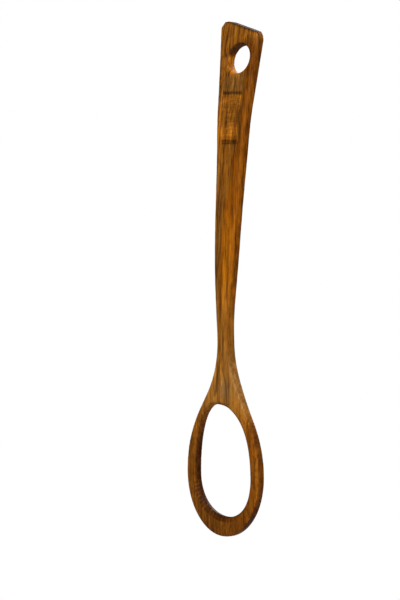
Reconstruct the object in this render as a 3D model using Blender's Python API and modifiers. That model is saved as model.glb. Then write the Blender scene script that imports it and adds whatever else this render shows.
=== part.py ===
"""A long mixing spoon with an open ring for a bowl, carved from one piece of wood.

Metres, +Z up.  The spoon hangs upright: the handle end is up and the ring is down.  The front, with
the label panel and the scooped shoulder, faces -Y.  The origin is the centre of the hanging hole,
halfway through the wood.
"""

import math

import bmesh
import bpy
import numpy as np

# ---- driving dimensions, in metres ---------------------------------------------------------------

# Along the spoon, counted from the centre of the hanging hole
END_ABOVE_HOLE = 0.0200       # up to the slanted end, on the handle's centre line
MIDDLE_BELOW_HOLE = 0.1180    # down to the slim middle of the handle
NECK_BELOW_HOLE = 0.1680      # down to the narrowest place
NECK_TO_WIDEST = 0.0805       # from the neck down to the widest place of the ring
WIDEST_TO_TIP = 0.0374        # from there down to the tip
STRAIGHT_BELOW_HOLE = 0.0240  # the handle end is flat and straight down to here
KNEE_LENGTH = 0.0060          # and eases into its bend over this

# Across the spoon
HANDLE_END_WIDTH = 0.0342
MIDDLE_WIDTH = 0.0155
NECK_WIDTH = 0.0088
RING_WIDTH = 0.0614
HOLE_OFF_CENTRE = 0.0012      # the hanging hole was drilled this far to the right of the centre line
END_SLANT = math.radians(18.5)
END_CORNER_LEFT = 0.0065
END_CORNER_RIGHT = 0.0050
SHOULDER_STRAY = 0.0012       # the shoulder was carved this far to the right of the centre line

# Through the spoon
HANDLE_END_THICKNESS = 0.0062
NECK_THICKNESS = 0.0078
RING_THICKNESS = 0.0052
ROUNDOVER = 0.0015            # all the long edges are sanded round

# Openings
HANGING_HOLE_DIAMETER = 0.0175
HOLE_FLARE = 0.0020           # how far the front rim of the hanging hole is rounded away
HOLE_BACK_FLARE = 0.0004      # the back rim is only eased
RING_SIDE_WALL = 0.0084
RING_TIP_WALL = 0.0119
OPENING_TOP_BELOW_NECK = 0.0391
OPENING_TOP_OFF_CENTRE = -0.0065
OPENING_TIP_OFF_CENTRE = 0.0020

# Side profile: how far the middle of the wood lies in front of the hanging hole
HANDLE_LEAN = math.radians(8.3)
NECK_FORWARD = 0.0122
OPENING_TOP_FORWARD = 0.0130
TIP_FORWARD = 0.0116

# Surface features
PANEL_TOP_BELOW_HOLE = 0.0208
PANEL_LENGTH = 0.0305
PANEL_WIDTH = 0.0145
PANEL_DEPTH = 0.0006
PANEL_OFF_CENTRE = -0.0010
SCOOP_LENGTH = 0.0560
SCOOP_WIDTH = 0.0300
SCOOP_DEPTH = 0.0016
SCOOP_PAST_OPENING_TOP = 0.0168   # how far the scoop runs on past the opening's upper edge
SCOOP_BALL_THICKNESS = 0.0120     # front to back, of the long ball that it is cut with

# Mesh fineness
CURVE_STEPS = 14
ROUNDOVER_STEPS = 2
STATION_SPACING = 0.006
HOLE_SIDES = 48
RIM_STEPS = 3
SCOOP_SIDES = 40
SCOOP_RINGS = 24
WELD = 0.000005               # points this close are one
STATION_SNAP = 0.0002         # a point this close to a station is not cut off from it
CUTTER_PROUD = 0.0040         # how far a cutter stands out of the wood

# ---- places that follow from them ----------------------------------------------------------------

CENTRE_LINE = -HOLE_OFF_CENTRE
END_Z = END_ABOVE_HOLE
MIDDLE_Z = -MIDDLE_BELOW_HOLE
NECK_Z = -NECK_BELOW_HOLE
WIDEST_Z = NECK_Z - NECK_TO_WIDEST
TIP_Z = WIDEST_Z - WIDEST_TO_TIP
OPENING_TOP_Z = NECK_Z - OPENING_TOP_BELOW_NECK
OPENING_TIP_Z = TIP_Z + RING_TIP_WALL
OPENING_WIDTH = RING_WIDTH - 2 * RING_SIDE_WALL
END_RISE = math.tan(END_SLANT) * HANDLE_END_WIDTH / 2

# How far each curve of the outline runs straight on before it bends, as a share of its span
ARC_HANDLE = 0.5523           # this share of the radius draws a quarter ellipse
RING_DOWNWARDS_LEFT = 0.535
RING_DOWNWARDS_RIGHT = 0.555
RING_TIP_REACH = 0.54
RING_UPWARDS = 0.456
NECK_DOWNWARDS = 0.428
NECK_UPWARDS = 0.37
MIDDLE_DOWNWARDS = 0.50
MIDDLE_UPWARDS = 0.233
END_DOWNWARDS = 0.60
OPENING_UPWARDS_LEFT = 0.476
OPENING_UPWARDS_RIGHT = 0.743
OPENING_DOWNWARDS = 0.675
OPENING_TOP_REACH_LEFT = 0.46
OPENING_TOP_REACH_RIGHT = 0.61
OPENING_TIP_REACH = 0.52

# How fast each side of the handle draws away from the centre line, going up
MIDDLE_SPREAD = 0.0586
END_SPREAD = 0.0916

# Where the shoulder strays sideways, counted upwards from the neck, and the share of the stray there
STRAY = [(-0.052, 0), (-0.047, 0), (-0.027, 1), (-0.012, 0.75), (0.002, 0.33), (0.013, 0), (0.018, 0)]

# Where the side profile is set between the neck and the hanging hole, and its values there, as shares
LOWER_STATION = 0.845
LOWER_FORWARD = 0.975
MIDDLE_STATION = 0.631
MIDDLE_FORWARD = 0.828
UPPER_STATION = 0.369
UPPER_FORWARD = 0.566
THINNING_STATION = 0.72
THINNING_NECK_SHARE = 0.65    # the rest is the handle end's thickness
SWELL_STATION = 0.36
SWELL = 0.0004                # the middle of the handle is this much thicker than its end
OPENING_TOP_NECK_SHARE = 0.2  # the rest is the ring's thickness


def clear_scene():
    for thing in list(bpy.data.objects):
        bpy.data.objects.remove(thing, do_unlink=True)


def collection_named(name):
    collection = bpy.data.collections.new(name)
    bpy.context.scene.collection.children.link(collection)
    return collection


# ---- the plan: what a bandsaw cuts from the plank ------------------------------------------------

def add_closed_spline(curve, points):
    """Each point is (place, handle before it, handle after it), as (x from the centre line, z)."""
    spline = curve.splines.new("BEZIER")
    spline.bezier_points.add(len(points) - 1)
    spline.use_cyclic_u = True
    for knot, (place, before, after) in zip(spline.bezier_points, points):
        knot.handle_left_type = "FREE"
        knot.handle_right_type = "FREE"
        knot.co = (place[0] + CENTRE_LINE, place[1], 0)
        knot.handle_left = (before[0] + CENTRE_LINE, before[1], 0)
        knot.handle_right = (after[0] + CENTRE_LINE, after[1], 0)


def outline_points():
    """The outer outline from the tip: up the left side, over the slanted end, and down the right."""
    ring = RING_WIDTH / 2
    neck = NECK_WIDTH / 2
    middle = MIDDLE_WIDTH / 2
    end = HANDLE_END_WIDTH / 2
    tip_reach = RING_TIP_REACH * ring
    up_ring = RING_UPWARDS * NECK_TO_WIDEST
    down_neck = NECK_DOWNWARDS * NECK_TO_WIDEST
    up_neck = NECK_UPWARDS * (MIDDLE_Z - NECK_Z)
    down_middle = MIDDLE_DOWNWARDS * (MIDDLE_Z - NECK_Z)
    slope = math.tan(END_SLANT)

    def side(sign, ring_downwards, corner, corner_z):
        down_ring = ring_downwards * WIDEST_TO_TIP
        side_z = corner_z - corner
        up_middle = MIDDLE_UPWARDS * (side_z - MIDDLE_Z)
        down_end = END_DOWNWARDS * (side_z - MIDDLE_Z)
        reach = corner * (1 - ARC_HANDLE)
        return [
            (
                (sign * ring, WIDEST_Z),
                (sign * ring, WIDEST_Z - down_ring),
                (sign * ring, WIDEST_Z + up_ring),
            ),
            (
                (sign * neck, NECK_Z),
                (sign * neck, NECK_Z - down_neck),
                (sign * neck, NECK_Z + up_neck),
            ),
            (
                (sign * middle, MIDDLE_Z),
                (sign * (middle - MIDDLE_SPREAD * down_middle), MIDDLE_Z - down_middle),
                (sign * (middle + MIDDLE_SPREAD * up_middle), MIDDLE_Z + up_middle),
            ),
            (
                (sign * (end - END_SPREAD * corner), side_z),
                (sign * (end - END_SPREAD * (corner + down_end)), side_z - down_end),
                (sign * end, corner_z - reach),
            ),
            (
                (sign * (end - corner), corner_z + sign * slope * corner),
                (sign * (end - reach), corner_z + sign * slope * reach),
                (sign * (end - 2 * corner), corner_z + sign * slope * 2 * corner),
            ),
        ]

    left = side(-1, RING_DOWNWARDS_LEFT, END_CORNER_LEFT, END_Z + END_RISE)
    right = side(1, RING_DOWNWARDS_RIGHT, END_CORNER_RIGHT, END_Z - END_RISE)
    right = [(place, after, before) for place, before, after in reversed(right)]
    tip = ((0, TIP_Z), (tip_reach, TIP_Z), (-tip_reach, TIP_Z))
    return [tip] + left + right


def opening_points():
    """The opening of the ring: an egg that narrows upwards, and is blunt at its upper left."""
    half = OPENING_WIDTH / 2
    top_x = OPENING_TOP_OFF_CENTRE
    tip_x = OPENING_TIP_OFF_CENTRE
    above = OPENING_TOP_Z - WIDEST_Z
    below = WIDEST_Z - OPENING_TIP_Z
    tip_reach = OPENING_TIP_REACH * half
    top_left = OPENING_TOP_REACH_LEFT * half
    top_right = OPENING_TOP_REACH_RIGHT * half
    up_left = OPENING_UPWARDS_LEFT * above
    up_right = OPENING_UPWARDS_RIGHT * above
    down = OPENING_DOWNWARDS * below
    return [
        ((tip_x, OPENING_TIP_Z), (tip_x + tip_reach, OPENING_TIP_Z), (tip_x - tip_reach, OPENING_TIP_Z)),
        ((-half, WIDEST_Z), (-half, WIDEST_Z - down), (-half, WIDEST_Z + up_left)),
        ((top_x, OPENING_TOP_Z), (top_x - top_left, OPENING_TOP_Z), (top_x + top_right, OPENING_TOP_Z)),
        ((half, WIDEST_Z), (half, WIDEST_Z + up_right), (half, WIDEST_Z - down)),
    ]


def sawn_plate():
    """A flat plate of the handle end's thickness with rounded edges, as a mesh cut into short stations."""
    curve = bpy.data.curves.new("plan", "CURVE")
    curve.dimensions = "2D"
    curve.fill_mode = "BOTH"
    curve.resolution_u = CURVE_STEPS
    curve.bevel_depth = ROUNDOVER
    curve.bevel_resolution = ROUNDOVER_STEPS
    curve.offset = -ROUNDOVER
    curve.extrude = HANDLE_END_THICKNESS / 2 - ROUNDOVER
    add_closed_spline(curve, outline_points())
    add_closed_spline(curve, opening_points())
    plan = bpy.data.objects.new("plan", curve)
    bpy.context.scene.collection.objects.link(plan)
    plan.rotation_euler = (math.radians(90), 0, 0)
    bpy.context.view_layer.update()

    graph = bpy.context.evaluated_depsgraph_get()
    mesh = bpy.data.meshes.new_from_object(plan.evaluated_get(graph))
    mesh.transform(plan.matrix_world)
    bpy.data.objects.remove(plan, do_unlink=True)

    shape = bmesh.new()
    shape.from_mesh(mesh)
    bmesh.ops.remove_doubles(shape, verts=shape.verts, dist=WELD)
    for station in np.arange(TIP_Z + STATION_SPACING, END_Z, STATION_SPACING):
        everything = shape.verts[:] + shape.edges[:] + shape.faces[:]
        bmesh.ops.bisect_plane(
            shape, geom=everything, dist=STATION_SNAP, plane_co=(0, 0, station), plane_no=(0, 0, 1)
        )
    bmesh.ops.triangulate(shape, faces=shape.faces)
    shape.to_mesh(mesh)
    shape.free()
    return mesh


# ---- the side profile: its bend and its changing thickness ---------------------------------------

def eased(z, stations):
    """A smooth curve through (z, value) stations, given from the bottom up, straight beyond its ends."""
    places = np.array([station[0] for station in stations])
    values = np.array([station[1] for station in stations])
    spans = np.diff(places)
    slopes = np.diff(values) / spans
    bends = np.empty(len(places))
    bends[0] = slopes[0]
    bends[-1] = slopes[-1]
    bends[1:-1] = (slopes[:-1] * spans[1:] + slopes[1:] * spans[:-1]) / (spans[:-1] + spans[1:])
    span = np.clip(np.searchsorted(places, z) - 1, 0, len(spans) - 1)
    t = (z - places[span]) / spans[span]
    a = 2 * t**3 - 3 * t**2 + 1
    b = t**3 - 2 * t**2 + t
    c = 3 * t**2 - 2 * t**3
    d = t**3 - t**2
    inside = (
        a * values[span]
        + b * spans[span] * bends[span]
        + c * values[span + 1]
        + d * spans[span] * bends[span + 1]
    )
    below = values[0] + bends[0] * (z - places[0])
    above = values[-1] + bends[-1] * (z - places[-1])
    return np.where(z < places[0], below, np.where(z > places[-1], above, inside))


def middle_y(z):
    """Y of the middle of the wood.  The handle end is straight and leans back, as does the tip."""
    lean = math.tan(HANDLE_LEAN)
    knee = -STRAIGHT_BELOW_HOLE - KNEE_LENGTH
    stations = [
        (TIP_Z, -TIP_FORWARD),
        (WIDEST_Z, -(TIP_FORWARD + OPENING_TOP_FORWARD) / 2),
        (OPENING_TOP_Z, -OPENING_TOP_FORWARD),
        (NECK_Z, -NECK_FORWARD),
        (LOWER_STATION * NECK_Z, -LOWER_FORWARD * NECK_FORWARD),
        (MIDDLE_STATION * NECK_Z, -MIDDLE_FORWARD * NECK_FORWARD),
        (UPPER_STATION * NECK_Z, -UPPER_FORWARD * NECK_FORWARD),
        (knee, knee * lean),
        (knee + KNEE_LENGTH, (knee + KNEE_LENGTH) * lean),
    ]
    return eased(z, stations)


def between(first, second, share):
    """Share 0 gives the first value, and 1 the second."""
    return first + share * (second - first)


def thickness(z):
    stations = [
        (TIP_Z, RING_THICKNESS),
        (WIDEST_Z, RING_THICKNESS),
        (OPENING_TOP_Z, between(RING_THICKNESS, NECK_THICKNESS, OPENING_TOP_NECK_SHARE)),
        (NECK_Z, NECK_THICKNESS),
        (THINNING_STATION * NECK_Z, between(HANDLE_END_THICKNESS, NECK_THICKNESS, THINNING_NECK_SHARE)),
        (SWELL_STATION * NECK_Z, HANDLE_END_THICKNESS + SWELL),
        (-STRAIGHT_BELOW_HOLE - KNEE_LENGTH, HANDLE_END_THICKNESS),
        (-STRAIGHT_BELOW_HOLE, HANDLE_END_THICKNESS),
    ]
    return eased(z, stations)


def stray(z):
    """How far the wood strays to the right of the centre line, at the shoulder."""
    return eased(z, [(NECK_Z + from_neck, share * SHOULDER_STRAY) for from_neck, share in STRAY])


def shape_side(mesh):
    points = np.empty(len(mesh.vertices) * 3)
    mesh.vertices.foreach_get("co", points)
    points = points.reshape(-1, 3)
    z = points[:, 2]
    points[:, 0] += stray(z)
    points[:, 1] = points[:, 1] * thickness(z) / HANDLE_END_THICKNESS + middle_y(z)
    mesh.vertices.foreach_set("co", points.ravel())
    mesh.update()


# ---- cutters -------------------------------------------------------------------------------------

def as_cutter(obj, collection):
    for linked in list(obj.users_collection):
        linked.objects.unlink(obj)
    collection.objects.link(obj)
    obj.hide_render = True
    obj.display_type = "WIRE"
    return obj


def hanging_hole_cutter(collection):
    """A turned bit, square to the handle, whose ends flare, so that the hole's rims come out rounded."""
    radius = HANGING_HOLE_DIAMETER / 2
    half = HANDLE_END_THICKNESS / 2
    beyond = half + CUTTER_PROUD

    def rim(flare):
        """The bit's outline from the face of the wood inwards, as (radius, depth below the face)."""
        turn = np.linspace(0, math.radians(90), RIM_STEPS + 1)
        return [(radius + flare * (1 - math.sin(a)), flare * (1 - math.cos(a))) for a in turn]

    front = [(r, half - depth) for r, depth in rim(HOLE_FLARE)]
    back = [(r, depth - half) for r, depth in reversed(rim(HOLE_BACK_FLARE))]
    profile = [(0, beyond), (radius + HOLE_FLARE, beyond)] + front
    profile += back + [(radius + HOLE_BACK_FLARE, -beyond), (0, -beyond)]

    mesh = bpy.data.meshes.new("hanging_hole_cutter")
    shape = bmesh.new()
    knots = [shape.verts.new((r, 0, h)) for r, h in profile]
    for first, second in zip(knots, knots[1:]):
        shape.edges.new((first, second))
    shape.to_mesh(mesh)
    shape.free()
    cutter = bpy.data.objects.new("hanging_hole_cutter", mesh)
    bpy.context.scene.collection.objects.link(cutter)
    turned = cutter.modifiers.new("turned", "SCREW")
    turned.steps = HOLE_SIDES
    turned.render_steps = HOLE_SIDES
    turned.use_merge_vertices = True
    turned.merge_threshold = WELD
    cutter.rotation_euler = (math.radians(90) - HANDLE_LEAN, 0, 0)
    return as_cutter(cutter, collection)


def label_panel_cutter(collection):
    """A box whose floor follows the front of the handle, a little left of the centre line."""
    middle_z = -(PANEL_TOP_BELOW_HOLE + PANEL_LENGTH / 2)
    top_y = float(middle_y(middle_z + PANEL_LENGTH / 2))
    low_y = float(middle_y(middle_z - PANEL_LENGTH / 2))
    lean = math.atan2(top_y - low_y, PANEL_LENGTH)
    front_y = float(middle_y(middle_z) - thickness(middle_z) / 2)
    bpy.ops.mesh.primitive_cube_add(size=1)
    cutter = bpy.context.object
    cutter.name = "label_panel_cutter"
    cutter.scale = (PANEL_WIDTH, CUTTER_PROUD + PANEL_DEPTH, PANEL_LENGTH)
    cutter.rotation_euler = (-lean, 0, 0)
    cutter.location = (CENTRE_LINE + PANEL_OFF_CENTRE, front_y - (CUTTER_PROUD - PANEL_DEPTH) / 2, middle_z)
    return as_cutter(cutter, collection)


def scoop_cutter(collection):
    """A long ball that hollows the shoulder and fades into the upper edge of the ring's opening."""
    middle_z = OPENING_TOP_Z - SCOOP_PAST_OPENING_TOP + SCOOP_LENGTH / 2
    front_y = float(middle_y(OPENING_TOP_Z) - thickness(OPENING_TOP_Z) / 2)
    bpy.ops.mesh.primitive_uv_sphere_add(segments=SCOOP_SIDES, ring_count=SCOOP_RINGS, radius=0.5)
    cutter = bpy.context.object
    cutter.name = "scoop_cutter"
    cutter.scale = (SCOOP_WIDTH, SCOOP_BALL_THICKNESS, SCOOP_LENGTH)
    cutter.location = (CENTRE_LINE, front_y + SCOOP_DEPTH - SCOOP_BALL_THICKNESS / 2, middle_z)
    return as_cutter(cutter, collection)


# ---- finish --------------------------------------------------------------------------------------

def oiled_hardwood():
    material = bpy.data.materials.new("oiled_hardwood")
    material.use_nodes = True
    shader = material.node_tree.nodes["Principled BSDF"]
    shader.inputs["Base Color"].default_value = (0.27, 0.095, 0.022, 1)
    shader.inputs["Roughness"].default_value = 0.45
    shader.inputs["Metallic"].default_value = 0.0
    material.diffuse_color = (0.27, 0.095, 0.022, 1)
    return material


def carve_spoon():
    parts = collection_named("ring_spoon")
    cutters = collection_named("cutters")
    mesh = sawn_plate()
    shape_side(mesh)
    mesh.materials.append(oiled_hardwood())
    mesh.shade_smooth()
    mesh.set_sharp_from_angle(angle=math.radians(40))
    spoon = bpy.data.objects.new("spoon", mesh)
    parts.objects.link(spoon)
    for cutter in (hanging_hole_cutter(cutters), label_panel_cutter(cutters), scoop_cutter(cutters)):
        cut = spoon.modifiers.new(cutter.name, "BOOLEAN")
        cut.operation = "DIFFERENCE"
        cut.solver = "EXACT"
        cut.object = cutter


clear_scene()
carve_spoon()
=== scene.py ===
import math

import bmesh
import bpy
import numpy as np
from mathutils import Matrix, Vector, noise
from mathutils.geometry import interpolate_bezier
from mathutils.kdtree import KDTree


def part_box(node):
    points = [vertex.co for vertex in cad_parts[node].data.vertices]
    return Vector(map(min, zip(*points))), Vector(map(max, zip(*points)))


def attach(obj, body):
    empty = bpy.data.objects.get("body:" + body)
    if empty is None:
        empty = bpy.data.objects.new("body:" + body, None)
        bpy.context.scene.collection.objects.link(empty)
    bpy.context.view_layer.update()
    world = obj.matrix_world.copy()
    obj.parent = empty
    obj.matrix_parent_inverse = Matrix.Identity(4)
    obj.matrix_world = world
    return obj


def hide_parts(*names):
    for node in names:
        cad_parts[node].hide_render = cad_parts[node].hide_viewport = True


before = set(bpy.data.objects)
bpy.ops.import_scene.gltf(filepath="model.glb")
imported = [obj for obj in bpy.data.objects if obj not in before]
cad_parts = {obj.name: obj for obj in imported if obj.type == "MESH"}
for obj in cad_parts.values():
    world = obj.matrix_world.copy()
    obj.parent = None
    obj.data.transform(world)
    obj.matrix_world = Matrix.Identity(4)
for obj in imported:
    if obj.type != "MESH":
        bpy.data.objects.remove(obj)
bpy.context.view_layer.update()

# ---- The spoon: the plan -------------------------------------------------------------------------
# The spoon is one piece of dark, oily hardwood, carved from a sawn plank.  Its plan is a long handle
# that widens to a slanted end, a thin neck, and an egg-shaped ring in place of a bowl.  The maker saws
# both outlines out first and sands the long edges round.

low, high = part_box("spoon")
tip_z = low.z
centre_line = (low.x + high.x) / 2
ring_width = high.x - low.x
middle_z = -0.1180
neck_z = -0.1680
widest_z = neck_z - 0.0805
opening_top_z = neck_z - 0.0391
opening_tip_z = tip_z + 0.0119
end_z = 0.0200
end_width = 0.0342
end_slope = math.tan(math.radians(18.5))
middle_width = 0.0155
neck_width = 0.0088
ring_wall = 0.0084
end_thickness = 0.0062
sanded_edge = 0.0015

# The end's two corners are rounded, and it is sawn to length later
saw_allowance = 0.0015
corner_left = 0.0072
corner_right = 0.0068

# How fast half the handle widens, going up, and the arm that makes a quarter circle of radius 1
taper_at_middle = 0.0586
taper_at_end = 0.0916
round_arc = 0.5523


def draw_outline(curve, points):
    """Each point is (place, arm before it, arm after it), as (x from the centre line, z)."""
    line = curve.splines.new("BEZIER")
    line.bezier_points.add(len(points) - 1)
    line.use_cyclic_u = True
    for knot, (place, before, after) in zip(line.bezier_points, points):
        knot.handle_left_type = "FREE"
        knot.handle_right_type = "FREE"
        knot.co = (place[0] + centre_line, place[1], 0)
        knot.handle_left = (before[0] + centre_line, before[1], 0)
        knot.handle_right = (after[0] + centre_line, after[1], 0)


def side_of_the_plan(sign, corner):
    """One side of the outer outline, from the widest place of the ring up to the end.

    The end is left a little long.  An arm is how far the curve keeps its direction at a point.
    """
    ring = ring_width / 2
    neck = neck_width / 2
    middle = middle_width / 2
    end = end_width / 2
    corner_z = end_z + saw_allowance - sign * end_slope * end
    side_z = corner_z - corner
    ring_down = 0.57 * (widest_z - tip_z)
    ring_up = 0.456 * (neck_z - widest_z)
    neck_down = 0.428 * (neck_z - widest_z)
    neck_up = 0.37 * (middle_z - neck_z)
    middle_down = 0.50 * (middle_z - neck_z)
    middle_up = 0.233 * (side_z - middle_z)
    corner_down = 0.60 * (side_z - middle_z)
    reach = corner * (1 - round_arc)
    return [
        (
            (sign * ring, widest_z),
            (sign * ring, widest_z - ring_down),
            (sign * ring, widest_z + ring_up),
        ),
        (
            (sign * neck, neck_z),
            (sign * neck, neck_z - neck_down),
            (sign * neck, neck_z + neck_up),
        ),
        (
            (sign * middle, middle_z),
            (sign * (middle - taper_at_middle * middle_down), middle_z - middle_down),
            (sign * (middle + taper_at_middle * middle_up), middle_z + middle_up),
        ),
        (
            (sign * (end - taper_at_end * corner), side_z),
            (sign * (end - taper_at_end * (corner + corner_down)), side_z - corner_down),
            (sign * end, corner_z - reach),
        ),
        (
            (sign * (end - corner), corner_z + sign * end_slope * corner),
            (sign * (end - reach), corner_z + sign * end_slope * reach),
            (sign * (end - 2 * corner), corner_z + sign * end_slope * 2 * corner),
        ),
    ]


bpy.ops.object.select_all(action="DESELECT")
bpy.ops.curve.primitive_bezier_circle_add(radius=ring_width / 2)
spoon = bpy.context.object
spoon.name = "carved_spoon"
plan = spoon.data
plan.splines.clear()
tip_arm = 0.54 * ring_width / 2
tip = ((0, tip_z), (tip_arm, tip_z), (-tip_arm, tip_z))
up_the_left = side_of_the_plan(-1, corner_left)
up_the_right = side_of_the_plan(1, corner_right)
down_the_right = [(place, after, before) for place, before, after in reversed(up_the_right)]
outside = [tip] + up_the_left + down_the_right
draw_outline(plan, outside)

# The opening is an egg with its top towards the left
egg_top = -0.0065
egg_tip = 0.0020
egg_half = ring_width / 2 - ring_wall
tip_arm = 0.52 * egg_half
down_arm = 0.675 * (widest_z - opening_tip_z)
left_up_arm = 0.476 * (opening_top_z - widest_z)
right_up_arm = 0.743 * (opening_top_z - widest_z)
top_left_arm = 0.46 * egg_half
top_right_arm = 0.61 * egg_half
egg = [
    (
        (egg_tip, opening_tip_z),
        (egg_tip + tip_arm, opening_tip_z),
        (egg_tip - tip_arm, opening_tip_z),
    ),
    (
        (-egg_half, widest_z),
        (-egg_half, widest_z - down_arm),
        (-egg_half, widest_z + left_up_arm),
    ),
    (
        (egg_top, opening_top_z),
        (egg_top - top_left_arm, opening_top_z),
        (egg_top + top_right_arm, opening_top_z),
    ),
    (
        (egg_half, widest_z),
        (egg_half, widest_z + right_up_arm),
        (egg_half, widest_z - down_arm),
    ),
]
draw_outline(plan, egg)

# The board between the outlines, with both its faces' edges sanded round
plan.dimensions = "2D"
plan.fill_mode = "BOTH"
plan.resolution_u = 40
plan.bevel_depth = sanded_edge
plan.bevel_resolution = 6
plan.offset = -sanded_edge
plan.extrude = end_thickness / 2 - sanded_edge
bpy.ops.object.convert(target="MESH")
spoon.rotation_euler = (math.radians(90), 0, 0)
bpy.ops.object.transform_apply(rotation=True)
hair = 0.000005
bpy.ops.object.mode_set(mode="EDIT")
bpy.ops.mesh.select_all(action="SELECT")
bpy.ops.mesh.remove_doubles(threshold=hair)
bpy.ops.object.mode_set(mode="OBJECT")


def remesh(size):
    """Gives the whole surface an even mesh, fine enough to carve."""
    bpy.ops.object.modifier_add(type="REMESH")
    even = spoon.modifiers[-1]
    even.mode = "VOXEL"
    even.voxel_size = size
    bpy.ops.object.modifier_apply(modifier=even.name)


even_mesh = 0.0008
remesh(even_mesh)

# ---- The spoon: the side profile -----------------------------------------------------------------
# Seen from the side the plank is planed to a long shallow S.  The handle end leans back, the neck is
# the thickest place and stands forward, and the ring is the thinnest.

lean = math.radians(8.3)
straight_to = -0.0240
knee = -0.0300
neck_forward = 0.0122
top_forward = 0.0130
tip_forward = 0.0116
neck_thickness = 0.0078
ring_thickness = 0.0052


def eased(z, stations):
    """A smooth curve through (z, value) stations, given from the bottom up, straight beyond its ends."""
    places = np.array([station[0] for station in stations])
    values = np.array([station[1] for station in stations])
    spans = np.diff(places)
    slopes = np.diff(values) / spans
    bends = np.concatenate((slopes[:1], slopes[1:], slopes[-1:]))
    bends[1:-1] = (slopes[:-1] * spans[1:] + slopes[1:] * spans[:-1]) / (spans[:-1] + spans[1:])
    span = np.clip(np.searchsorted(places, z) - 1, 0, len(spans) - 1)
    t = (z - places[span]) / spans[span]
    inside = (
        (2 * t**3 - 3 * t**2 + 1) * values[span]
        + (t**3 - 2 * t**2 + t) * spans[span] * bends[span]
        + (3 * t**2 - 2 * t**3) * values[span + 1]
        + (t**3 - t**2) * spans[span] * bends[span + 1]
    )
    below = values[0] + bends[0] * (z - places[0])
    above = values[-1] + bends[-1] * (z - places[-1])
    return np.where(z < places[0], below, np.where(z > places[-1], above, inside))


def middle_y(z):
    """How far the middle of the wood stands forward, as y."""
    return eased(z, [
        (tip_z, -tip_forward),
        (widest_z, -(tip_forward + top_forward) / 2),
        (opening_top_z, -top_forward),
        (neck_z, -neck_forward),
        (0.845 * neck_z, -0.975 * neck_forward),
        (0.631 * neck_z, -0.828 * neck_forward),
        (0.369 * neck_z, -0.566 * neck_forward),
        (knee, knee * math.tan(lean)),
        (straight_to, straight_to * math.tan(lean)),
    ])


def thickness(z):
    """How thick the wood is, from front to back."""
    return eased(z, [
        (tip_z, ring_thickness),
        (widest_z, ring_thickness),
        (opening_top_z, 0.8 * ring_thickness + 0.2 * neck_thickness),
        (neck_z, neck_thickness),
        (0.72 * neck_z, 0.65 * neck_thickness + 0.35 * end_thickness),
        (0.36 * neck_z, end_thickness + 0.0004),
        (knee, end_thickness),
        (straight_to, end_thickness),
    ])


def stray(z):
    """The shoulder was carved a little to the right of the centre line."""
    return eased(z, [
        (-0.2200, 0),
        (-0.2150, 0),
        (-0.1950, 0.0012),
        (-0.1800, 0.0009),
        (-0.1660, 0.0004),
        (-0.1550, 0),
        (-0.1500, 0),
    ])


def places_of(mesh):
    """The place of every point of the mesh, one to a row."""
    points = np.empty(len(mesh.vertices) * 3)
    mesh.vertices.foreach_get("co", points)
    return points.reshape(-1, 3)


def move_to(mesh, points):
    """Moves every point of the mesh to its new place."""
    mesh.vertices.foreach_set("co", points.ravel())
    mesh.update()


points = places_of(spoon.data)
points[:, 0] += stray(points[:, 2])
points[:, 1] = points[:, 1] * thickness(points[:, 2]) / end_thickness + middle_y(points[:, 2])
move_to(spoon.data, points)

# ---- The spoon: the hanging hole -----------------------------------------------------------------
# A 17.5 mm bit goes through the handle end, square to its leaning face.  The front rim is rounded over
# with sandpaper, and the back rim is only eased.

hole_radius = 0.00875
hole_x = 0.0004
hole_z = -0.0003
front_rim = 0.0020
back_rim = 0.0004
beyond_wood = 0.003
rim_step = 15

bpy.ops.object.select_all(action="DESELECT")
bpy.ops.mesh.primitive_cylinder_add(vertices=128, radius=hole_radius, depth=end_thickness)
bit = bpy.context.object
bit.name = "hole_bit"
bpy.ops.object.mode_set(mode="EDIT")
for facing, rim in ((1, front_rim), (-1, back_rim)):
    cage = bmesh.from_edit_mesh(bit.data)
    furthest = max(face.calc_center_median().z * facing for face in cage.faces)
    for face in cage.faces:
        face.select = face.calc_center_median().z * facing > furthest - hair
    bmesh.update_edit_mesh(bit.data)
    bpy.ops.transform.translate(value=(0, 0, -facing * rim))
    radius = hole_radius
    for degrees in range(rim_step, 91, rim_step):
        turn = math.radians(degrees)
        turn_before = math.radians(degrees - rim_step)
        outwards = rim * (math.sin(turn) - math.sin(turn_before))
        widened = hole_radius + rim * (1 - math.cos(turn))
        bpy.ops.mesh.extrude_region_move(TRANSFORM_OT_translate={"value": (0, 0, facing * outwards)})
        bpy.ops.transform.resize(value=(widened / radius, widened / radius, 1), center_override=(0, 0, 0))
        radius = widened
    bpy.ops.mesh.extrude_region_move(TRANSFORM_OT_translate={"value": (0, 0, facing * beyond_wood)})
bpy.ops.object.mode_set(mode="OBJECT")
bit.rotation_euler = (math.radians(90) - lean, 0, 0)
bit.location = (hole_x, 0, hole_z)
bpy.ops.object.transform_apply(location=True, rotation=True)


def cut_away(cutter):
    """Cuts the cutter's shape out of the spoon, and throws the cutter away."""
    bpy.ops.object.select_all(action="DESELECT")
    bpy.context.view_layer.objects.active = spoon
    spoon.select_set(True)
    bpy.ops.object.modifier_add(type="BOOLEAN")
    cut = spoon.modifiers[-1]
    cut.operation = "DIFFERENCE"
    cut.solver = "EXACT"
    cut.object = cutter
    bpy.ops.object.modifier_apply(modifier=cut.name)
    bpy.data.objects.remove(cutter, do_unlink=True)


cut_away(bit)
fine_mesh = 0.00045
remesh(fine_mesh)

# ---- The spoon: the sawn end ---------------------------------------------------------------------
# Last of all the end is sawn off on a slant, and the high corner on its left is taken down level and
# nipped off.  The cuts are left sharp.

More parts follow.
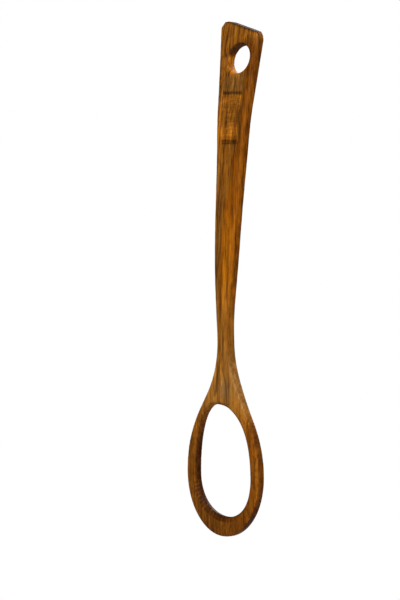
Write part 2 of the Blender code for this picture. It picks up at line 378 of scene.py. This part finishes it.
slant = ((centre_line, 0, end_z), Vector((end_slope, 0, 1)).normalized())
level = ((0, 0, 0.0232), Vector((0, 0, 1)))
nip = ((-0.0150, 0, 0.0217), Vector((-0.72, 0, 0.69)))
bpy.ops.object.mode_set(mode="EDIT")
for place, facing in (slant, level, nip):
    bpy.ops.mesh.select_all(action="SELECT")
    bpy.ops.mesh.bisect(plane_co=place, plane_no=facing, use_fill=True, clear_outer=True)
bpy.ops.object.mode_set(mode="OBJECT")
bpy.ops.object.shade_smooth_by_angle(angle=math.radians(50))

# ---- The spoon: carving and sanding --------------------------------------------------------------
# With gouge and sandpaper the maker hollows the shoulder into the top of the ring, cuts a shallow label
# panel into the handle, rounds the inner edge of the ring, and leaves gouge chatter on its inner wall.

points = places_of(spoon.data)
across = points[:, 0] - centre_line - stray(points[:, 2])
height = points[:, 2]
depth = (points[:, 1] - middle_y(height)) / (thickness(height) / 2)
in_front = np.clip(-depth, 0, 1)


def rising(value, start, end):
    """0 before start, 1 past end, and smooth between; start may be the larger."""
    t = np.clip((value - start) / (end - start), 0, 1)
    return t * t * (3 - 2 * t)


def window(value, start, full, fading, end):
    """0 up to start, 1 from full to fading, 0 from end on, and smooth between."""
    return rising(value, start, full) * rising(value, end, fading)


def ridge(value, middle, width):
    """1 at the middle, dying away on both sides over about the width."""
    return np.exp(-(((value - middle) / width) ** 2))


def along(outline):
    """Points close together on an outline, as a search tree."""
    steps = 60
    spots = []
    for first, second in zip(outline, outline[1:] + outline[:1]):
        arms = [Vector((x, 0, z)) for x, z in (first[0], first[2], second[1], second[0])]
        spots += interpolate_bezier(*arms, steps)
    tree = KDTree(len(spots))
    for number, spot in enumerate(spots):
        tree.insert(spot, number)
    tree.balance()
    return tree


def distance_to(tree):
    """How far each point of the spoon is from an outline, seen from the front."""
    return np.array([tree.find((x, 0, z))[2] for x, z in zip(across, height)])


from_opening = distance_to(along(egg))
from_outside = distance_to(along(outside))

# The label panel is a little wider at its top than at its bottom
panel_top = -0.0203
panel_bottom = -0.0518
panel_middle = -0.0001
panel_half = np.interp(height, [panel_bottom, panel_top], [0.0066, 0.0083])
panel_depth = 0.0004
soft_side = 0.0008
soft_end = 0.0004
inside_panel = rising(np.abs(across - panel_middle), panel_half, panel_half - soft_side)
inside_panel *= rising(height, panel_bottom - soft_end, panel_bottom + soft_end)
inside_panel *= rising(height, panel_top + soft_end, panel_top - soft_end)
points[:, 1] += panel_depth * inside_panel * (in_front > 0.9)

# The hollow of the shoulder starts as a narrow groove and opens towards the ring
hollow_top = -0.1830
hollow_depth = 0.0014
below_top = np.clip((hollow_top - height) / (hollow_top - opening_top_z), 0, 1)
hollow_half = 0.0015 + 0.0070 * below_top
hollow = rising(np.abs(across + 0.0010), hollow_half, 0.25 * hollow_half) * rising(below_top, 0, 0.5)
hollow *= rising(height, opening_top_z - 0.012, opening_top_z)
points[:, 1] += hollow_depth * hollow * rising(in_front, 0.0, 0.9)

# The front inner edge of the ring is worn round, most of all at the tip
worn_width = np.interp(height, [opening_tip_z, widest_z, opening_top_z], [0.0045, 0.0022, 0.0024])
worn_depth = 0.0011
worn = np.clip(1 - from_opening / worn_width, 0, 1) ** 2
points[:, 1] += worn_depth * worn * rising(in_front, 0.0, 0.9)

# Gouge chatter at the lower left of the opening: narrow ticks, counted round the opening from its left
ticks_in_full_circle = 62
tick_depth = 0.00025
degrees_round = np.degrees(np.arctan2(widest_z - height, -across))
tick = np.clip(np.cos(np.radians(degrees_round) * ticks_in_full_circle), 0, 1) ** 5
chatter = tick * window(degrees_round, 8, 18, 64, 80) * rising(from_opening, 0.0036, 0.0028)
points[:, 1] += tick_depth * chatter * in_front

# Hand sanding leaves nothing quite flat
sanding_depth = 0.00012
unevenness = np.array([noise.noise(Vector((x * 60, y * 60, z * 25))) for x, y, z in points])
normals = np.empty(len(points) * 3)
spoon.data.vertices.foreach_get("normal", normals)
points += sanding_depth * unevenness[:, None] * normals.reshape(-1, 3)
move_to(spoon.data, points)

# ---- The spoon: the wood ---------------------------------------------------------------------------
# Open-grained brown hardwood, rubbed with oil.  Long fibres run the length of the spoon, with short dark
# pores between them.  Heartwood, soaked-in oil, handling, sanding and toasting have tinted it in places.
# Some layers are painted light and shade: shade where surfaces face away from the light, highlights where
# they face it


def paint(name, amounts):
    """Keeps an amount from 0 to 1 at each point of the spoon, for the wood to read."""
    layer = spoon.data.attributes.new(name, "FLOAT", "POINT")
    layer.data.foreach_set("value", np.clip(amounts, 0, 1).astype(np.float32))


spoon.data.vertices.foreach_get("normal", normals)
facing_right = normals[0::3]
facing_back = normals[1::3]
front = in_front > 0.5
right_wall = rising(facing_right, 0.35, 0.75)
in_ring = rising(height, opening_top_z + 0.010, opening_top_z - 0.014)
inner_wall = rising(from_opening, 0.0019, 0.0008) * rising(np.abs(facing_back), 0.95, 0.6)
slim = rising(height, -0.130, -0.160)
shoulder = window(height, -0.225, -0.208, -0.186, -0.172)
below_end = end_z - end_slope * across - height
end_grain = rising(below_end, 0.0005, 0.0001)
from_hole = np.hypot(points[:, 0] - hole_x, height - hole_z)
to_right = (points[:, 0] - hole_x) / from_hole
upwards = (height - hole_z) / from_hole
in_hole = rising(from_hole, hole_radius + front_rim, hole_radius + 0.3 * front_rim)

# Redder heartwood lies to the right of a boundary that wanders across the handle, and on the ring's right
boundary = eased(height, [
    (-0.190, -0.0020),
    (-0.150, -0.0015),
    (-0.105, -0.0016),
    (-0.088, -0.0005),
    (-0.076, 0.0030),
    (-0.061, 0.0042),
    (-0.048, 0.0083),
    (-0.013, 0.0088),
])
heartwood = rising(across - boundary, -0.0006, 0.0010) * window(height, -0.165, -0.130, 0.003, 0.013)
paint("heartwood", heartwood + 0.5 * in_ring * rising(across, 0.000, 0.012))

# Old oil and dirt: in the end grain, round the ring and inside its opening, under the gouge chatter, down
# the heartwood, and to the right of the hanging hole.  Painted shade darkens the right-hand walls, which
# face away from the light
soaked_and_shade = 0.45 * end_grain
soaked_and_shade += in_ring * (0.18 + 0.22 * rising(height, -0.262, -0.272) + 0.28 * inner_wall)
# Painted shade: the walls that face right, away from the light, are darkened
soaked_and_shade += 0.55 * right_wall * rising(height, -0.210, -0.235)
soaked_and_shade += 0.50 * rising(from_opening, 0.0036, 0.0026) * window(degrees_round, 5, 25, 90, 115)
soaked_and_shade += 0.25 * heartwood * rising(height, -0.075, -0.050)
soaked_and_shade += 0.38 * rising(across, 0.0040, 0.0080) * rising(np.abs(height), 0.015, 0.010)
paint("soaked_and_shade", soaked_and_shade)

# The grain shows less where the wood is most handled, and on the heartwood
worn_grain = 0.5 * in_ring + 0.35 * slim * (1 - in_ring) + 0.45 * right_wall * slim
worn_grain += 0.15 * inside_panel + 0.15 * shoulder + 0.25 * heartwood + 0.4 * in_hole
paint("open_grain", 1 - worn_grain)
worn_flecks = 0.65 * rising(height, -0.050, -0.080) + 0.25 * right_wall + 0.5 * in_hole + 0.3 * heartwood
paint("flecked", 0.9 - worn_flecks)

# Paler: painted light on the shoulder, palest on its right, a painted highlight on the left edge below the
# middle, and the slim part's right rubbed pale
# Painted light: the shoulder is made paler, most of all on its right, where it faces the light
pale_and_painted_light = window(height, opening_top_z - 0.016, opening_top_z + 0.002, -0.195, -0.140)
pale_and_painted_light *= np.clip(0.60 + across / 0.006, 0.45, 1.2) * (1 - 0.8 * right_wall)
# Painted sheen and highlight: a strip along the long rounded edges of the neck and shoulder
edge = rising(from_outside, 0.0020, 0.0006) * window(height, -0.235, -0.205, -0.150, -0.110)
edge *= np.where(across < 0, 1, np.maximum(rising(depth, 0.2, 0.9), 0.5 * shoulder))
left_edge_highlight = edge * (across < 0)
slim_right = rising(across, -0.001, 0.001) * window(height, -0.160, -0.145, -0.110, -0.090)
paint("pale_and_painted_light", pale_and_painted_light + 0.8 * left_edge_highlight + 0.4 * slim_right * front)

# Greyed: a patch under the hanging hole, the left half of the handle, and the gouge chatter.  Painted sheen
# along the long edges, painted shade on a patch in the shoulder's hollow, and a painted highlight in fine
# streaks above it
patch = rising(np.abs(across - 0.0002), 0.0098, 0.0088) * window(height, -0.0225, -0.0205, -0.0120, -0.0080)
# Painted shade: a darker, greyer patch in the shoulder's hollow, on the flank that faces away from the
# light
hollow_shade = ridge(across, 0.0008, 0.0055) * ridge(height, -0.1985, 0.0055)
left_half = rising(across - boundary, 0.0010, -0.0016) * window(height, -0.160, -0.140, -0.095, -0.070)
# Painted highlight: fine bright streaks on the shoulder above the hollow
from_streaks = across + 0.0018
streak_highlight = np.clip(np.cos(from_streaks / 0.00036), 0, 1) ** 3 * rising(np.abs(from_streaks), 0.0018, 0.0014)
streak_highlight *= window(height, -0.1975, -0.1940, -0.1880, -0.1850)
greyed_and_painted_light = edge + (0.8 * streak_highlight + 0.6 * chatter) * (in_front > 0.3)
greyed_and_painted_light += (0.5 * patch + 0.7 * hollow_shade + 0.35 * left_half) * front
paint("greyed_and_painted_light", greyed_and_painted_light)

# Dark bars at both ends of the label panel, which slope down a little to the right
slope = 0.064 * (across - 0.0002)
top_bar = rising(np.abs(height + 0.0209 + slope), 0.0012, 0.0006)
top_bar *= rising(np.abs(across - 0.0002), 0.0086, 0.0078)
low_bar = rising(np.abs(height + 0.0503 + 0.8 * slope), 0.0018, 0.0010)
low_bar *= rising(np.abs(across - 0.0003), 0.0068, 0.0060)

# Darker lines: along the sawn end, the heartwood's boundary, the neck, and the ring's outer edge on the
# right.
# Painted shade in a crease into the ring's left, and on the wall of the hanging hole, darkest at its top
end_line = 0.5 * rising(np.abs(below_end - 0.0006), 0.0010, 0.0003)
heart_line = 0.45 * ridge(across, boundary, 0.0005) * window(height, -0.060, -0.045, -0.014, -0.006)
neck_line = 0.4 * ridge(across, 0.0005, 0.0004) * window(height, -0.182, -0.176, -0.146, -0.138)
crease_x = np.interp(height, [-0.2040, -0.1955, -0.1865, -0.1790], [-0.0067, -0.0053, -0.0030, -0.0018])
# Painted shade: a dark line down the crease into the ring's left
crease_shade = 0.75 * ridge(across, crease_x, 0.0008) * window(height, -0.2040, -0.2010, -0.1850, -0.1790)
ring_edge = 0.25 * in_ring * ridge(from_outside, 0.0013, 0.0006)
ring_edge *= rising(height, -0.268, -0.256) * rising(across, 0.010, 0.018)
dark_marks_and_shade = 0.62 * top_bar + 0.64 * low_bar + 0.15 * patch + 0.2 * hollow_shade
dark_marks_and_shade += end_line + heart_line + neck_line + crease_shade + ring_edge
# Painted shade: the top of the hanging hole's rim and wall, which face down, away from the light
hole_shade = in_hole * rising(0.95 * upwards - 0.3 * to_right, 0.35, 0.85)
paint("dark_marks_and_shade", dark_marks_and_shade * front + 0.85 * hole_shade + 0.60 * end_grain)

# Brighter: just inside both bars, along the left of the panel, the gouge chatter and the rubbed right of
# the slim part.
# Painted highlights on the shoulder's streaks and the left edge, and painted light on the foot of the
# hanging hole, the left of its wall and the ring's face
inside_bars = ridge(height, -0.0450, 0.0040) + 0.4 * ridge(height, -0.0245, 0.0020)
panel_left = 0.6 * ridge(across, -0.0085, 0.0018) * window(height, -0.058, -0.050, -0.026, -0.020)
bright_and_painted_light = 0.7 * inside_bars * inside_panel + panel_left
bright_and_painted_light += streak_highlight + 0.9 * chatter + 0.2 * left_edge_highlight + 0.1 * slim_right
# Painted light: the left of the hanging hole's wall, which faces the light
hole_wall_light = rising(from_hole, hole_radius + 0.0008, hole_radius + 0.0002)
hole_wall_light *= rising(-0.87 * to_right - 0.5 * upwards, 0.55, 0.80)
# Painted light: the foot of the hanging hole's rim, which faces up into the light
hole_foot_light = rising(from_hole, hole_radius + 0.0030, hole_radius + 0.0015) * rising(-upwards, 0.0, 0.6)
# Painted light: the ring's face, but not its right-hand wall, lightest towards the top
ring_face_light = in_ring * (1 - right_wall) * rising(from_opening, 0.0006, 0.0016)
ring_face_light *= 0.04 + 0.07 * rising(height, -0.276, -0.258)
paint("bright_and_painted_light", bright_and_painted_light * front + 0.75 * hole_wall_light + 0.15 * hole_foot_light + ring_face_light)
paint("panel", inside_panel)
paint("ring", in_ring)

wood = bpy.data.materials.new("oiled_hardwood")
wood.use_nodes = True
nodes = wood.node_tree.nodes
links = wood.node_tree.links
shader = nodes["Principled BSDF"]
shader.inputs["Specular IOR Level"].default_value = 0.06
object_place = nodes.new("ShaderNodeTexCoord")


def fibres(name, across_scale, along_scale, detail, rough, distortion=0.0):
    """Noise drawn out along the grain."""
    scaled = nodes.new("ShaderNodeMapping")
    scaled.inputs["Scale"].default_value = (across_scale, 0.4 * across_scale, along_scale)
    links.new(object_place.outputs["Object"], scaled.inputs["Vector"])
    grain = nodes.new("ShaderNodeTexNoise")
    grain.label = name
    grain.inputs["Scale"].default_value = 1.0
    grain.inputs["Detail"].default_value = detail
    grain.inputs["Roughness"].default_value = rough
    grain.inputs["Distortion"].default_value = distortion
    links.new(scaled.outputs["Vector"], grain.inputs["Vector"])
    return grain.outputs["Fac"]


def tones(value, stops):
    """A colour for each value, from (place, colour) stops."""
    ramp = nodes.new("ShaderNodeValToRGB")
    while len(ramp.color_ramp.elements) < len(stops):
        ramp.color_ramp.elements.new(0.5)
    for element, (place, colour) in zip(ramp.color_ramp.elements, stops):
        element.position = place
        element.color = (*colour, 1)
    links.new(value, ramp.inputs["Fac"])
    return ramp.outputs["Color"]


def blended(kind, amount, first, second):
    """Two colours mixed.  The amount and the second colour may be a value or the output of a node."""
    mix = nodes.new("ShaderNodeMix")
    mix.data_type = "RGBA"
    mix.blend_type = kind
    sockets = (mix.inputs["Factor"], mix.inputs[6], mix.inputs[7])
    for value, socket in zip((amount, first, second), sockets):
        if isinstance(value, bpy.types.NodeSocket):
            links.new(value, socket)
        elif isinstance(value, tuple):
            socket.default_value = (*value, 1)
        else:
            socket.default_value = value
    return mix.outputs[2]


def painted(name):
    """The amount of a painted layer."""
    layer = nodes.new("ShaderNodeAttribute")
    layer.attribute_name = name
    return layer.outputs["Fac"]


bands = fibres("growth bands", 230, 9, 3, 0.55, 0.6)
streaks = fibres("streaks", 700, 26, 3, 0.6, 0.3)
flecks = fibres("dark flecks", 1550, 170, 2, 0.5)
pores = fibres("long pores", 1500, 22, 2, 0.5)
fine = fibres("fine fibres", 2100, 70, 3, 0.6)
scratches = fibres("sanding scratches", 140, 1900, 2, 0.5)
mottling = fibres("mottling", 800, 130, 3, 0.6)
specks = fibres("specks", 1100, 330, 2, 0.6)

brown_stops = [(0.30, (0.168, 0.057, 0.0040)), (0.5, (0.262, 0.090, 0.0065)), (0.72, (0.385, 0.143, 0.013))]
red_stops = [(0.30, (0.185, 0.048, 0.0008)), (0.5, (0.275, 0.080, 0.0014)), (0.72, (0.39, 0.122, 0.0030))]
streak_stops = [(0.36, (0.50, 0.46, 0.42)), (0.52, (1, 1, 1)), (0.70, (1.18, 1.18, 1.18))]
fleck_stops = [(0.33, (0.26, 0.26, 0.28)), (0.43, (1, 1, 1))]
pore_stops = [(0.36, (0.36, 0.34, 0.34)), (0.46, (1, 1, 1))]
fine_stops = [(0.30, (0.62, 0.60, 0.58)), (0.60, (1.08, 1.08, 1.08))]
mottling_stops = [(0.36, (0.62, 0.58, 0.56)), (0.58, (1.08, 1.08, 1.08))]
speck_stops = [(0.34, (0.68, 0.62, 0.56)), (0.50, (1, 1, 1)), (0.68, (1.16, 1.12, 1.08))]
scratch_stops = [(0.38, (0.72, 0.72, 0.72)), (0.60, (1.12, 1.12, 1.12))]

colour = blended("MIX", painted("heartwood"), tones(bands, brown_stops), tones(bands, red_stops))
for amount, tint in (
    (painted("open_grain"), tones(streaks, streak_stops)),
    (painted("flecked"), tones(flecks, fleck_stops)),
    (painted("open_grain"), tones(pores, pore_stops)),
    (0.8, tones(fine, fine_stops)),
    (0.75, tones(mottling, mottling_stops)),
    (painted("ring"), tones(specks, speck_stops)),
    (painted("panel"), tones(scratches, scratch_stops)),
    # These five layers carry painted light and shade besides the wood's own marks: painted shade on
    # right-facing walls, in the shoulder's crease and hollow and atop the hanging hole, and painted
    # highlights, sheen and light elsewhere
    (painted("soaked_and_shade"), (0.24, 0.18, 0.11)),
    (painted("pale_and_painted_light"), (1.45, 1.75, 3.4)),
    (painted("greyed_and_painted_light"), (0.92, 1.25, 3.6)),
    (painted("bright_and_painted_light"), (2.3, 2.2, 1.7)),
    (painted("dark_marks_and_shade"), (0.24, 0.20, 0.14)),
):
    colour = blended("MULTIPLY", amount, colour, tint)
links.new(colour, shader.inputs["Base Color"])
links.new(tones(fine, [(0.3, (0.62,) * 3), (0.7, (0.45,) * 3)]), shader.inputs["Roughness"])
bump = nodes.new("ShaderNodeBump")
bump.inputs["Strength"].default_value = 0.3
bump.inputs["Distance"].default_value = 0.0003
links.new(flecks, bump.inputs["Height"])
links.new(bump.outputs["Normal"], shader.inputs["Normal"])

spoon.data.materials.clear()
spoon.data.materials.append(wood)
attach(spoon, "root")
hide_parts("spoon")

# ---- The floor -----------------------------------------------------------------------------------
# A plain pale studio floor.  The spoon hangs well above it, so that its shadow falls out of sight.

bpy.ops.object.select_all(action="DESELECT")
bpy.ops.mesh.primitive_cylinder_add(vertices=96, radius=1.6, depth=0.02, location=(0, 0, -0.91))
floor = bpy.context.object
floor.name = "studio_floor"
bpy.ops.object.transform_apply(location=True)
pale = bpy.data.materials.new("pale_floor")
pale.use_nodes = True
pale.node_tree.nodes["Principled BSDF"].inputs["Base Color"].default_value = (0.82, 0.82, 0.81, 1)
pale.node_tree.nodes["Principled BSDF"].inputs["Roughness"].default_value = 0.8
floor.data.materials.append(pale)

# ---- Studio light --------------------------------------------------------------------------------
# White surroundings behind everything, a large soft light high on the left of the front, a weaker one
# on the right, and one behind, so that every side can be seen.

world = bpy.data.worlds.new("white_studio")
bpy.context.scene.world = world
world.use_nodes = True
sky = world.node_tree
seen = sky.nodes["Background"]
seen.inputs["Color"].default_value = (1, 1, 1, 1)
seen.inputs["Strength"].default_value = 1.0
lighting = sky.nodes.new("ShaderNodeBackground")
lighting.inputs["Color"].default_value = (1, 1, 1, 1)
lighting.inputs["Strength"].default_value = 0.15
ray = sky.nodes.new("ShaderNodeLightPath")
either = sky.nodes.new("ShaderNodeMixShader")
sky.links.new(ray.outputs["Is Camera Ray"], either.inputs["Fac"])
sky.links.new(lighting.outputs["Background"], either.inputs[1])
sky.links.new(seen.outputs["Background"], either.inputs[2])
sky.links.new(either.outputs["Shader"], sky.nodes["World Output"].inputs["Surface"])


def soft_light(name, place, size, power):
    """A round soft light, aimed at the middle of the spoon."""
    bpy.ops.object.light_add(type="AREA", location=place)
    lamp = bpy.context.object
    lamp.name = name
    lamp.data.shape = "DISK"
    lamp.data.size = size
    lamp.data.energy = power
    aim = Vector((0, 0, -0.14)) - Vector(place)
    lamp.rotation_euler = aim.to_track_quat("-Z", "Y").to_euler()


soft_light("key_light", (0.55, -1.2, 0.85), 0.7, 33)
soft_light("fill_light", (1.3, -0.1, 0.1), 0.8, 5)
soft_light("back_light", (-0.4, 1.3, 0.6), 0.9, 20)

# ---- The camera ----------------------------------------------------------------------------------
# Level with the middle of the spoon, turned 46 degrees to the right of its front.

camera_turn = math.radians(46)
bpy.ops.object.camera_add(location=(0.9899, -0.9903, -0.1448), rotation=(math.radians(90), 0, camera_turn))
camera = bpy.context.object
camera.name = "camera"
camera.data.lens = 140
camera.data.sensor_width = 36
camera.data.clip_start = 0.05
bpy.context.scene.camera = camera
bpy.context.scene.view_settings.view_transform = "Standard"
